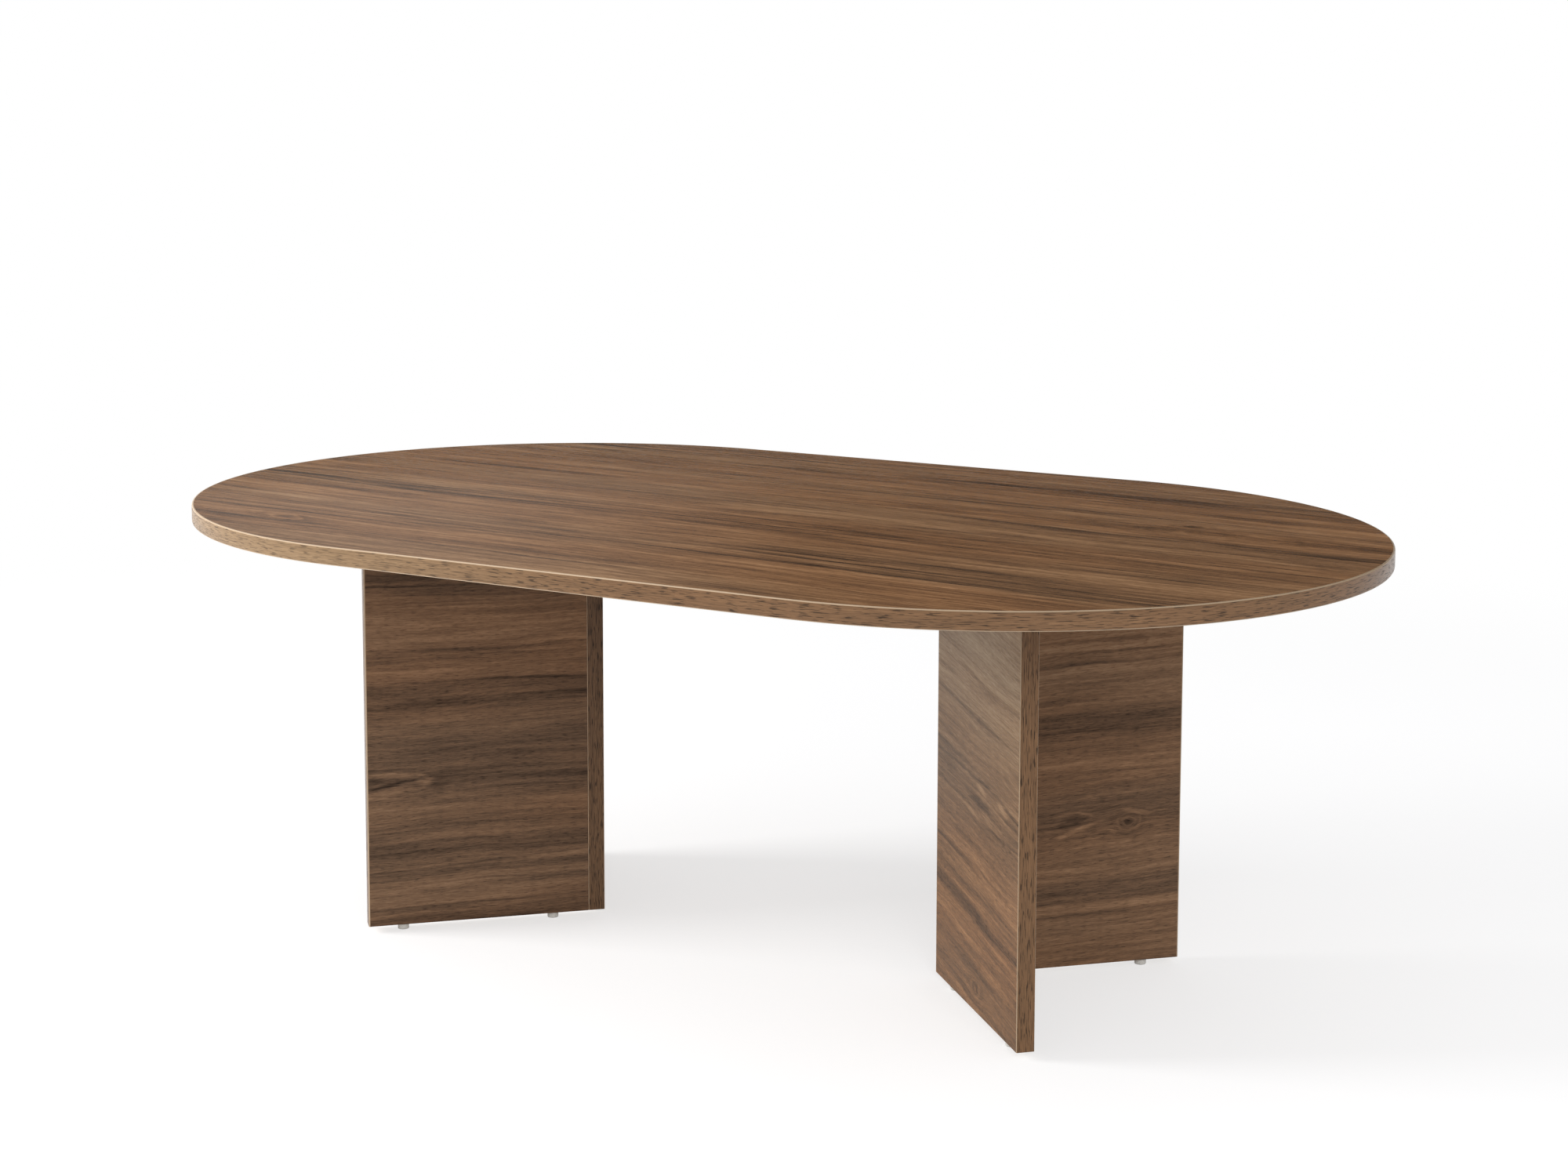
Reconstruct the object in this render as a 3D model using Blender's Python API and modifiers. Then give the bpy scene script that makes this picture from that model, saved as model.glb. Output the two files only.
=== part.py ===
"""Coffee table: a capsule-shaped top on two V-shaped panel legs, held by cam locks and dowels.

Metres, +Z up. The origin is on the floor under the middle of the top, and +X runs along the top.
"""

import math

import bmesh
import bpy
from mathutils import Matrix, Vector

# Table top
TOP_LENGTH = 1.300
TOP_WIDTH = 0.800
TOP_THICKNESS = 0.018
TABLE_HEIGHT = 0.466
TOP_BAND = 0.002
TOP_BAND_ROUND = 0.0015
END_SEGMENTS = 40

# Flats that stand for a curve
ROUND_SIDES = 12
CAM_SIDES = 20
ROUND_STEPS = 2

# Leg panels. A leg's outer corner points at the middle of the table.
PANEL_WIDTH = 0.240
PANEL_THICKNESS = 0.018
CORNER_OFFSET = 0.203
LEG_TURN = math.radians(45)
LEG_BAND = 0.001
LEG_BAND_ROUND = 0.0004

# Glides and their nails
FOOT_HEIGHT = 0.0065
FOOT_DIAMETER = 0.012
FOOT_ROUND = 0.0012
FOOT_INSET = 0.038
FOOT_FLOOR = 0.002
NAIL_DIAMETER = 0.002
NAIL_IN_PANEL = 0.014
NAIL_POINT = 0.003

# Cam locks. A cam's setback is from the joint to the cam's axis.
CAM_DIAMETER = 0.015
CAM_SETBACK = 0.034
CAM_FLOOR = 0.00085
CAM_INSET = 0.060
CORNER_CAM_INSET = 0.090
CROSS_LENGTH = 0.008
CROSS_WIDTH = 0.0016
CROSS_DEPTH = 0.002
BOLT_SHANK_DIAMETER = 0.007
BOLT_NECK_DIAMETER = 0.004
BOLT_HEAD_DIAMETER = 0.0065
BOLT_HEAD_LENGTH = 0.003
BOLT_THREAD_DIAMETER = 0.005
BOLT_THREAD_LENGTH = 0.011

# Dowels
DOWEL_DIAMETER = 0.008
DOWEL_LENGTH = 0.030
DOWEL_IN_RECEIVER = 0.012
DOWEL_CHAMFER = 0.001

SEAM = 0.0003  # between faces that meet, and round every piece in its bore
CAM_PLAY = 0.0004  # round a bolt's head and neck inside its cam
BOLT_PLAY = 0.0005  # round a bolt's shank in its bore, and between the shank and the cam
OVERSHOOT = 0.002  # how far a cutter stands out of the face that it cuts

TOP_UNDERSIDE = TABLE_HEIGHT - TOP_THICKNESS
PANEL_FOOT = FOOT_HEIGHT + SEAM
PANEL_HEAD = TOP_UNDERSIDE - SEAM
MID_BOARD = PANEL_THICKNESS / 2
BUTT_START = PANEL_THICKNESS + SEAM
BUTT_END = BUTT_START + PANEL_WIDTH
HEAD_POCKET = BOLT_HEAD_DIAMETER / 2 + CAM_PLAY
CAM_DEPTH = MID_BOARD + HEAD_POCKET + CAM_FLOOR
NAIL_IN_FOOT = FOOT_HEIGHT - FOOT_FLOOR - SEAM

UP = Vector((0, 0, 1))
DOWN = -UP
ALONG_BUTT = Vector((1, 0, 0))
ALONG_THROUGH = Vector((0, -1, 0))

# Where each panel's middle line starts in its leg, which way it runs, and which way its inside faces
PANELS = {
    "through": (Vector((MID_BOARD, 0, 0)), ALONG_THROUGH, ALONG_BUTT),
    "butt": (Vector((BUTT_START, -MID_BOARD, 0)), ALONG_BUTT, ALONG_THROUGH),
}


def clear_scene():
    for obj in list(bpy.data.objects):
        bpy.data.objects.remove(obj, do_unlink=True)


def new_collection(name):
    collection = bpy.data.collections.new(name)
    bpy.context.scene.collection.children.link(collection)
    return collection


def new_material(name, colour, roughness, metallic=0.0):
    material = bpy.data.materials.new(name)
    material.use_nodes = True
    shader = material.node_tree.nodes["Principled BSDF"]
    shader.inputs["Base Color"].default_value = (*colour, 1)
    shader.inputs["Roughness"].default_value = roughness
    shader.inputs["Metallic"].default_value = metallic
    material.diffuse_color = (*colour, 1)
    return material


def new_object(name, mesh, collection, parent=None, matrix=Matrix()):
    obj = bpy.data.objects.new(name, mesh)
    collection.objects.link(obj)
    obj.parent = parent
    obj.matrix_basis = matrix
    return obj


def new_part(name, mesh, material, parent=None, matrix=Matrix()):
    obj = new_object(name, mesh, parts, parent, matrix)
    if material.name not in mesh.materials:
        mesh.materials.append(material)
    return obj


def new_cutter(name, mesh, parent=None, matrix=Matrix()):
    obj = new_object(name, mesh, cutters, parent, matrix)
    obj.hide_render = True
    obj.display_type = "WIRE"
    return obj


def cut(obj, cutter):
    modifier = obj.modifiers.new(cutter.name, "BOOLEAN")
    modifier.operation = "DIFFERENCE"
    modifier.solver = "EXACT"
    modifier.object = cutter


def evaluated_mesh(obj):
    graph = bpy.context.evaluated_depsgraph_get()
    return bpy.data.meshes.new_from_object(obj.evaluated_get(graph))


def mesh_from(bm, name):
    mesh = bpy.data.meshes.new(name)
    bm.to_mesh(mesh)
    bm.free()
    return mesh


def smooth(mesh):
    mesh.shade_smooth()
    mesh.set_sharp_from_angle(angle=math.radians(35))
    return mesh


def aimed(place, z_axis, x_axis):
    """Matrix that sets a piece's origin at place, its Z along z_axis and its X along x_axis."""
    y_axis = z_axis.cross(x_axis)
    turn = Matrix((x_axis, y_axis, z_axis)).transposed()
    return Matrix.Translation(place) @ turn.to_4x4()


def box_mesh(name, low, high):
    low, high = Vector(low), Vector(high)
    place = Matrix.Translation((low + high) / 2) @ Matrix.Diagonal((*(high - low), 1))
    bm = bmesh.new()
    bmesh.ops.create_cube(bm, size=1, matrix=place)
    return mesh_from(bm, name)


def turned_mesh(name, profile):
    """Solid of revolution about Z from (radius, height) points that run down the outer side."""
    mesh = bpy.data.meshes.new(name)
    edges = [(i, i + 1) for i in range(len(profile) - 1)]
    mesh.from_pydata([(radius, 0, height) for radius, height in profile], edges, [])
    helper = new_object(name, mesh, cutters)
    screw = helper.modifiers.new("turn", "SCREW")
    screw.steps = ROUND_SIDES
    screw.render_steps = ROUND_SIDES
    screw.use_merge_vertices = True
    screw.merge_threshold = 0.00001
    turned = evaluated_mesh(helper)
    bpy.data.objects.remove(helper)
    return smooth(turned)


def capsule_outline(length, width):
    """Points round a shape with straight long sides and half-round ends."""
    radius = width / 2
    straight = length / 2 - radius
    points = []
    for side in (1, -1):
        for i in range(END_SEGMENTS + 1):
            angle = -math.pi / 2 + math.pi * i / END_SEGMENTS
            points.append((side * (straight + radius * math.cos(angle)), side * radius * math.sin(angle)))
    return points


def plate_mesh(name, outline, thickness):
    """Flat plate of the given outline, with its middle at z = 0."""
    curve = bpy.data.curves.new(name, "CURVE")
    curve.dimensions = "2D"
    curve.fill_mode = "BOTH"
    curve.extrude = thickness / 2
    spline = curve.splines.new("POLY")
    spline.points.add(len(outline) - 1)
    for point, (x, y) in zip(spline.points, outline):
        point.co = (x, y, 0, 1)
    spline.use_cyclic_u = True
    helper = new_object(name, curve, cutters)
    mesh = evaluated_mesh(helper)
    bpy.data.objects.remove(helper)
    bm = bmesh.new()
    bm.from_mesh(mesh)
    bmesh.ops.remove_doubles(bm, verts=bm.verts, dist=SEAM / 10)
    bmesh.ops.dissolve_limit(bm, angle_limit=math.radians(0.5), verts=bm.verts, edges=bm.edges)
    bmesh.ops.recalc_face_normals(bm, faces=bm.faces)
    bm.to_mesh(mesh)
    bm.free()
    return smooth(mesh)


def bores_mesh(name, bores):
    """Cutter of separate round bores, each (mouth, inward direction, radius, depth)."""
    bm = bmesh.new()
    for mouth, inward, radius, depth in bores:
        middle = mouth + inward * (depth - OVERSHOOT) / 2
        turn = UP.rotation_difference(inward).to_matrix().to_4x4()
        sides = ROUND_SIDES if radius < CAM_DIAMETER / 2 else CAM_SIDES
        corner = radius / math.cos(math.pi / sides)
        bmesh.ops.create_cone(
            bm,
            cap_ends=True,
            segments=sides,
            radius1=corner,
            radius2=corner,
            depth=depth + OVERSHOOT,
            matrix=Matrix.Translation(middle) @ turn,
        )
    return mesh_from(bm, name)


def cam_bore(mouth, inward):
    return mouth, inward, CAM_DIAMETER / 2 + SEAM, CAM_DEPTH + SEAM


def bolt_bore(mouth, inward):
    return mouth, inward, max(BOLT_SHANK_DIAMETER, BOLT_HEAD_DIAMETER) / 2 + BOLT_PLAY, CAM_SETBACK


def thread_bore(mouth, inward):
    return mouth, inward, BOLT_THREAD_DIAMETER / 2 + SEAM, BOLT_THREAD_LENGTH + SEAM


def dowel_bore(mouth, inward, depth):
    return mouth, inward, DOWEL_DIAMETER / 2 + SEAM, depth + SEAM


def nail_bore(mouth):
    return mouth, UP, NAIL_DIAMETER / 2 + SEAM, NAIL_IN_PANEL + SEAM


def cam_mesh():
    """Cam with its face at z = 0 and its bolt coming in along +X, half a board below the face."""
    radius = CAM_DIAMETER / 2
    bm = bmesh.new()
    place = Matrix.Translation((0, 0, -CAM_DEPTH / 2))
    bmesh.ops.create_cone(
        bm, cap_ends=True, segments=CAM_SIDES, radius1=radius, radius2=radius, depth=CAM_DEPTH, matrix=place
    )
    helper = new_object("cam", mesh_from(bm, "cam"), cutters)
    reach = radius + OVERSHOOT
    slot = BOLT_NECK_DIAMETER / 2 + CAM_PLAY
    pocket_end = BOLT_HEAD_LENGTH / 2 + CAM_PLAY
    cross = CROSS_LENGTH / 2
    blade = CROSS_WIDTH / 2
    boxes = {
        "neck_slot": ((-reach, -slot, -MID_BOARD - slot), (reach, reach, -MID_BOARD + slot)),
        "head_pocket": (
            (-reach, -HEAD_POCKET, -MID_BOARD - HEAD_POCKET),
            (pocket_end, HEAD_POCKET, -MID_BOARD + HEAD_POCKET),
        ),
        "cross_long": ((-cross, -blade, -CROSS_DEPTH), (cross, blade, OVERSHOOT)),
        "cross_short": ((-blade, -cross, -CROSS_DEPTH), (blade, cross, OVERSHOOT)),
    }
    tools = []
    for name, (low, high) in boxes.items():
        tools.append(new_cutter(name, box_mesh(name, low, high)))
        cut(helper, tools[-1])
    mesh = evaluated_mesh(helper)
    for obj in (helper, *tools):
        bpy.data.objects.remove(obj)
    return smooth(mesh)


def bolt_mesh():
    """Cam bolt along Z, with its shoulder at z = 0, its thread above and its head in the cam below."""
    head_low = -CAM_SETBACK - BOLT_HEAD_LENGTH / 2
    head_high = head_low + BOLT_HEAD_LENGTH
    neck_high = -CAM_SETBACK + CAM_DIAMETER / 2 + BOLT_PLAY
    thread = BOLT_THREAD_DIAMETER / 2
    shank = BOLT_SHANK_DIAMETER / 2
    neck = BOLT_NECK_DIAMETER / 2
    head = BOLT_HEAD_DIAMETER / 2
    profile = [
        (0, BOLT_THREAD_LENGTH),
        (thread / 2, BOLT_THREAD_LENGTH),
        (thread, BOLT_THREAD_LENGTH - thread / 2),
        (thread, 0),
        (shank, 0),
        (shank, neck_high),
        (neck, neck_high),
        (neck, head_high),
        (head, head_high),
        (head, head_low + BOLT_HEAD_LENGTH / 2),
        (head / 2, head_low),
        (0, head_low),
    ]
    return turned_mesh("cam_bolt", profile)


def dowel_mesh():
    """Dowel along Z, with the joint at z = 0 and the receiving board above."""
    radius = DOWEL_DIAMETER / 2
    high = DOWEL_IN_RECEIVER
    low = high - DOWEL_LENGTH
    profile = [
        (0, high),
        (radius - DOWEL_CHAMFER, high),
        (radius, high - DOWEL_CHAMFER),
        (radius, low + DOWEL_CHAMFER),
        (radius - DOWEL_CHAMFER, low),
        (0, low),
    ]
    return turned_mesh("dowel", profile)


def foot_mesh():
    """Glide standing on z = 0, with a rounded lower edge and a blind hole for its nail."""
    radius = FOOT_DIAMETER / 2
    hole = NAIL_DIAMETER / 2 + SEAM
    hole_floor = FOOT_HEIGHT - NAIL_IN_FOOT - SEAM
    profile = [(0, hole_floor), (hole, hole_floor), (hole, FOOT_HEIGHT), (radius, FOOT_HEIGHT)]
    for i in range(ROUND_STEPS + 1):
        angle = math.pi / 2 * i / ROUND_STEPS
        across = radius - FOOT_ROUND * (1 - math.cos(angle))
        profile.append((across, FOOT_ROUND * (1 - math.sin(angle))))
    profile.append((0, 0))
    return turned_mesh("glide", profile)


def nail_mesh():
    """Nail with its point up, and z = 0 at the top of its glide."""
    radius = NAIL_DIAMETER / 2
    profile = [
        (0, NAIL_IN_PANEL),
        (radius, NAIL_IN_PANEL - NAIL_POINT),
        (radius, -NAIL_IN_FOOT),
        (0, -NAIL_IN_FOOT),
    ]
    return turned_mesh("glide_nail", profile)


def band_mesh(name, low, high, outward):
    """Upright edge band whose two outer arrises are rounded."""
    mesh = box_mesh(name, low, high)
    bm = bmesh.new()
    bm.from_mesh(mesh)
    middle = (Vector(low) + Vector(high)) / 2
    arrises = []
    for edge in bm.edges:
        first, second = edge.verts
        upright = abs((second.co - first.co).z) > LEG_BAND
        if upright and (first.co - middle).dot(outward) > 0:
            arrises.append(edge)
    rounding = min(LEG_BAND_ROUND, LEG_BAND - SEAM)
    bmesh.ops.bevel(bm, geom=arrises, offset=rounding, segments=ROUND_STEPS, profile=0.5, affect="EDGES")
    bm.to_mesh(mesh)
    bm.free()
    return smooth(mesh)


def stations(panel):
    """Places along a panel's middle line: two cams, a dowel and two feet."""
    start, along, _ = PANELS[panel]
    return {
        "cams": {"inner": start + along * CAM_INSET, "outer": start + along * (PANEL_WIDTH - CAM_INSET)},
        "dowel": start + along * PANEL_WIDTH / 2,
        "feet": {"inner": start + along * FOOT_INSET, "outer": start + along * (PANEL_WIDTH - FOOT_INSET)},
    }


def cam_mouths(panel):
    """Middles of the faces of the cams that hold a panel to the table top."""
    lift = PANELS[panel][2] * MID_BOARD + UP * (PANEL_HEAD - CAM_SETBACK)
    return {place: spot + lift for place, spot in stations(panel)["cams"].items()}


def corner_cam_mouth(height):
    start, along, inside = PANELS["butt"]
    return start + along * CAM_SETBACK + inside * MID_BOARD + UP * height


def corner_heights():
    """Heights of the corner joint's two cams and of its dowel."""
    cams = {"upper": PANEL_HEAD - CORNER_CAM_INSET, "lower": PANEL_FOOT + CORNER_CAM_INSET}
    return cams, (PANEL_HEAD + PANEL_FOOT) / 2


def panel_bores(panel):
    """Bores that both kinds of panel have: those for cams, and those in the panel's head and foot."""
    inside = PANELS[panel][2]
    spots = stations(panel)
    cam_bores = [cam_bore(mouth, -inside) for mouth in cam_mouths(panel).values()]
    bores = [bolt_bore(spot + UP * PANEL_HEAD, DOWN) for spot in spots["cams"].values()]
    bores.append(dowel_bore(spots["dowel"] + UP * PANEL_HEAD, DOWN, DOWEL_LENGTH - DOWEL_IN_RECEIVER))
    bores += [nail_bore(spot + UP * PANEL_FOOT) for spot in spots["feet"].values()]
    return cam_bores, bores


def add_panel(name, low, high, leg, cam_bores, bores):
    panel = new_part(name, box_mesh(name, low, high), walnut_panel, leg)
    cut(panel, new_cutter(name + "_cam_bores", bores_mesh(name + "_cam_bores", cam_bores), leg))
    cut(panel, new_cutter(name + "_bores", bores_mesh(name + "_bores", bores), leg))


def add_through_panel(side, leg):
    """Panel that runs past the corner and takes the butt panel's bolts, with a band on each upright edge."""
    cam_heights, dowel_height = corner_heights()
    cam_bores, bores = panel_bores("through")
    seat = Vector((PANEL_THICKNESS, -MID_BOARD, 0))
    bores += [thread_bore(seat + UP * height, -ALONG_BUTT) for height in cam_heights.values()]
    bores.append(dowel_bore(seat + UP * dowel_height, -ALONG_BUTT, DOWEL_IN_RECEIVER))
    skin = LEG_BAND + SEAM
    low = (0, skin - PANEL_WIDTH, PANEL_FOOT)
    high = (PANEL_THICKNESS, -skin, PANEL_HEAD)
    add_panel(f"{side}_leg_through_panel", low, high, leg, cam_bores, bores)
    strips = {"tip": (-PANEL_WIDTH, ALONG_THROUGH), "corner": (-LEG_BAND, -ALONG_THROUGH)}
    for place, (start, outward) in strips.items():
        name = f"{side}_leg_through_band_{place}"
        low = (0, start, PANEL_FOOT)
        high = (PANEL_THICKNESS, start + LEG_BAND, PANEL_HEAD)
        new_part(name, band_mesh(name, low, high, outward), walnut_band, leg)


def add_butt_panel(side, leg):
    """Panel whose inner end meets the through panel, with a band on its outer edge."""
    cam_heights, dowel_height = corner_heights()
    cam_bores, bores = panel_bores("butt")
    end = PANELS["butt"][0]
    for height in cam_heights.values():
        cam_bores.append(cam_bore(corner_cam_mouth(height), -ALONG_THROUGH))
        bores.append(bolt_bore(end + UP * height, ALONG_BUTT))
    bores.append(dowel_bore(end + UP * dowel_height, ALONG_BUTT, DOWEL_LENGTH - DOWEL_IN_RECEIVER))
    band_start = BUTT_END - LEG_BAND
    low = (BUTT_START, -PANEL_THICKNESS, PANEL_FOOT)
    high = (band_start - SEAM, 0, PANEL_HEAD)
    add_panel(f"{side}_leg_butt_panel", low, high, leg, cam_bores, bores)
    name = f"{side}_leg_butt_band_tip"
    low = (band_start, -PANEL_THICKNESS, PANEL_FOOT)
    high = (BUTT_END, 0, PANEL_HEAD)
    new_part(name, band_mesh(name, low, high, ALONG_BUTT), walnut_band, leg)


def add_top_joint(side, panel, leg):
    """Cams, bolts and dowel between one panel and the table top."""
    inside = PANELS[panel][2]
    spots = stations(panel)
    for place, mouth in cam_mouths(panel).items():
        new_part(f"{side}_{panel}_cam_{place}", cam, zinc, leg, aimed(mouth, inside, UP))
        bolt_place = Matrix.Translation(spots["cams"][place] + UP * PANEL_HEAD)
        new_part(f"{side}_{panel}_cam_bolt_{place}", bolt, steel, leg, bolt_place)
    dowel_place = Matrix.Translation(spots["dowel"] + UP * PANEL_HEAD)
    new_part(f"{side}_{panel}_dowel", dowel, beech, leg, dowel_place)


def add_corner_joint(side, leg):
    """Cams, bolts and dowel between the two panels of a leg."""
    cam_heights, dowel_height = corner_heights()
    end = PANELS["butt"][0]
    for place, height in cam_heights.items():
        cam_place = aimed(corner_cam_mouth(height), ALONG_THROUGH, -ALONG_BUTT)
        new_part(f"{side}_corner_cam_{place}", cam, zinc, leg, cam_place)
        bolt_place = aimed(end + UP * height, -ALONG_BUTT, UP)
        new_part(f"{side}_corner_cam_bolt_{place}", bolt, steel, leg, bolt_place)
    dowel_place = aimed(end + UP * dowel_height, -ALONG_BUTT, UP)
    new_part(f"{side}_corner_dowel", dowel, beech, leg, dowel_place)


def add_feet(side, panel, leg):
    for place, spot in stations(panel)["feet"].items():
        new_part(f"{side}_{panel}_foot_{place}", foot, pale_plastic, leg, Matrix.Translation(spot))
        nail_place = Matrix.Translation(spot + UP * FOOT_HEIGHT)
        new_part(f"{side}_{panel}_foot_nail_{place}", nail, steel, leg, nail_place)


def top_bores(panel):
    """Bores in the table top's underside over one panel."""
    spots = stations(panel)
    bores = [thread_bore(spot + UP * TOP_UNDERSIDE, UP) for spot in spots["cams"].values()]
    bores.append(dowel_bore(spots["dowel"] + UP * TOP_UNDERSIDE, UP, DOWEL_IN_RECEIVER))
    return bores


def add_leg(side, along):
    """One leg, in a frame whose origin is on the floor under the leg's outer corner."""
    leg = new_object(f"{side}_leg", None, parts)
    leg.location = (along * CORNER_OFFSET, 0, 0)
    leg.rotation_euler = (0, 0, LEG_TURN + (0 if along > 0 else math.pi))
    add_through_panel(side, leg)
    add_butt_panel(side, leg)
    add_corner_joint(side, leg)
    bores = []
    for panel in PANELS:
        add_top_joint(side, panel, leg)
        add_feet(side, panel, leg)
        bores += top_bores(panel)
    name = f"{side}_top_bores"
    return new_cutter(name, bores_mesh(name, bores), leg)


def add_top(leg_bores):
    middle = Matrix.Translation((0, 0, TABLE_HEIGHT - TOP_THICKNESS / 2))
    skin = 2 * (TOP_BAND + SEAM)
    board_outline = capsule_outline(TOP_LENGTH - skin, TOP_WIDTH - skin)
    board_mesh = plate_mesh("table_top", board_outline, TOP_THICKNESS)
    board = new_part("table_top", board_mesh, walnut_top, None, middle)
    for bores in leg_bores:
        cut(board, bores)
    rim_mesh = plate_mesh("top_edge_band", capsule_outline(TOP_LENGTH, TOP_WIDTH), TOP_THICKNESS)
    rim = new_part("top_edge_band", rim_mesh, walnut_band, None, middle)
    rounding = rim.modifiers.new("arrises", "BEVEL")
    rounding.width = min(TOP_BAND_ROUND, TOP_BAND - SEAM)
    rounding.segments = ROUND_STEPS
    rounding.limit_method = "ANGLE"
    rounding.angle_limit = math.radians(60)
    hollow_outline = capsule_outline(TOP_LENGTH - 2 * TOP_BAND, TOP_WIDTH - 2 * TOP_BAND)
    hollow = plate_mesh("rim_hollow", hollow_outline, TOP_THICKNESS + 2 * OVERSHOOT)
    cut(rim, new_cutter("rim_hollow", hollow, None, middle))


clear_scene()
parts = new_collection("coffee_table")
cutters = new_collection("cutters")

walnut_top = new_material("walnut_top", (0.205, 0.118, 0.068), 0.32)
walnut_panel = new_material("walnut_panel", (0.165, 0.095, 0.056), 0.36)
walnut_band = new_material("walnut_band", (0.230, 0.140, 0.085), 0.38)
pale_plastic = new_material("pale_plastic", (0.72, 0.72, 0.70), 0.45)
zinc = new_material("zinc", (0.55, 0.55, 0.56), 0.40, 1.0)
steel = new_material("steel", (0.60, 0.60, 0.60), 0.30, 1.0)
beech = new_material("beech", (0.62, 0.43, 0.26), 0.60)

cam = cam_mesh()
bolt = bolt_mesh()
dowel = dowel_mesh()
foot = foot_mesh()
nail = nail_mesh()

add_top([add_leg("right", 1), add_leg("left", -1)])
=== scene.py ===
import math

import bmesh
import bpy
from mathutils import Matrix, Vector


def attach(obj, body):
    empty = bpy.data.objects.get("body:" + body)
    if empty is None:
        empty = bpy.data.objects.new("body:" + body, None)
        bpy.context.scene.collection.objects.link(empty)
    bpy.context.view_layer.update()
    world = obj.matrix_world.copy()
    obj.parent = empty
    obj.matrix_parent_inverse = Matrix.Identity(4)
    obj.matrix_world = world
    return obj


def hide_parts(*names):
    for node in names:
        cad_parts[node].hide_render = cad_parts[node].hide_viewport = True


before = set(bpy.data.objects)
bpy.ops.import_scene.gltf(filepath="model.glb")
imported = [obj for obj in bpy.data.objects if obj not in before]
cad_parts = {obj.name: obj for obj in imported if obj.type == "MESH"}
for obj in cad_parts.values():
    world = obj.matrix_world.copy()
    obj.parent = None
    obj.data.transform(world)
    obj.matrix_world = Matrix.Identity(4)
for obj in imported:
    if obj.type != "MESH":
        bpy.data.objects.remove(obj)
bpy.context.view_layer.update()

scene = bpy.context.scene
scene.view_settings.view_transform = "Standard"
print("frame loaded:", len(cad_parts), "nodes")


# node helpers
seedSlant = 1.7  # each seed reads its own patch of the noise


def feed(tree, socket, value):
    if isinstance(value, bpy.types.NodeSocket):
        tree.links.new(value, socket)
    else:
        socket.default_value = value


def addNode(tree, kind, inputs=None, **options):
    node = tree.nodes.new(kind)
    for name, value in options.items():
        setattr(node, name, value)
    for name, value in (inputs or {}).items():
        feed(tree, node.inputs[name], value)
    return node


def calc(tree, operation, *values):
    node = addNode(tree, "ShaderNodeMath", dict(enumerate(values)), operation=operation)
    return node.outputs[0]


def addUp(tree, *values):
    total = values[0]
    for value in values[1:]:
        total = calc(tree, "ADD", total, value)
    return total


def squared(tree, value):
    return calc(tree, "MULTIPLY", value, value)


def dotWith(tree, vector, axis):
    node = addNode(tree, "ShaderNodeVectorMath", {0: vector, 1: axis}, operation="DOT_PRODUCT")
    return node.outputs["Value"]


def rise(tree, value, low, high):
    inputs = {"Value": value, "From Min": low, "From Max": high}
    node = addNode(tree, "ShaderNodeMapRange", inputs, interpolation_type="SMOOTHSTEP")
    return node.outputs["Result"]


def noise(tree, vector, stretch, seed, detail=2.0, roughness=0.5):
    inputs = {"Vector": vector, "Scale": (*stretch, 1), "Location": (seed, seed * seedSlant, 0)}
    place = addNode(tree, "ShaderNodeMapping", inputs)
    inputs = {"Vector": place.outputs[0], "Scale": 1.0, "Detail": detail, "Roughness": roughness}
    return addNode(tree, "ShaderNodeTexNoise", inputs, noise_dimensions="2D").outputs[0]


def layer(tree, vector, settings, name, seed=0.0):
    stretch, detail, roughness, step = settings["layers"][name]
    return noise(tree, vector, stretch, seed + step, detail, roughness)


def swing(tree, value, amount):
    return calc(tree, "MULTIPLY", calc(tree, "SUBTRACT", value, 0.5), amount)


def ramp(tree, factor, stops, interpolation="EASE"):
    node = addNode(tree, "ShaderNodeValToRGB", {"Fac": factor})
    node.color_ramp.interpolation = interpolation
    elements = node.color_ramp.elements
    elements.remove(elements[1])
    for index, (position, colour) in enumerate(stops):
        element = elements[0] if index == 0 else elements.new(position)
        element.position = position
        element.color = (*colour, 1) if isinstance(colour, tuple) else (colour, colour, colour, 1)
    return node.outputs["Color"]


def mixColour(tree, factor, first, second, blend="MIX"):
    inputs = {0: factor, 6: first, 7: second}
    return addNode(tree, "ShaderNodeMix", inputs, data_type="RGBA", blend_type=blend).outputs[2]


def newMaterial(name):
    material = bpy.data.materials.new(name)
    material.use_nodes = True
    tree = material.node_tree
    return material, tree, tree.nodes["Principled BSDF"]


def bumped(tree, shader, height, strength, distance):
    inputs = {"Height": height, "Strength": strength, "Distance": distance}
    feed(tree, shader.inputs["Normal"], addNode(tree, "ShaderNodeBump", inputs).outputs[0])


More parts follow.
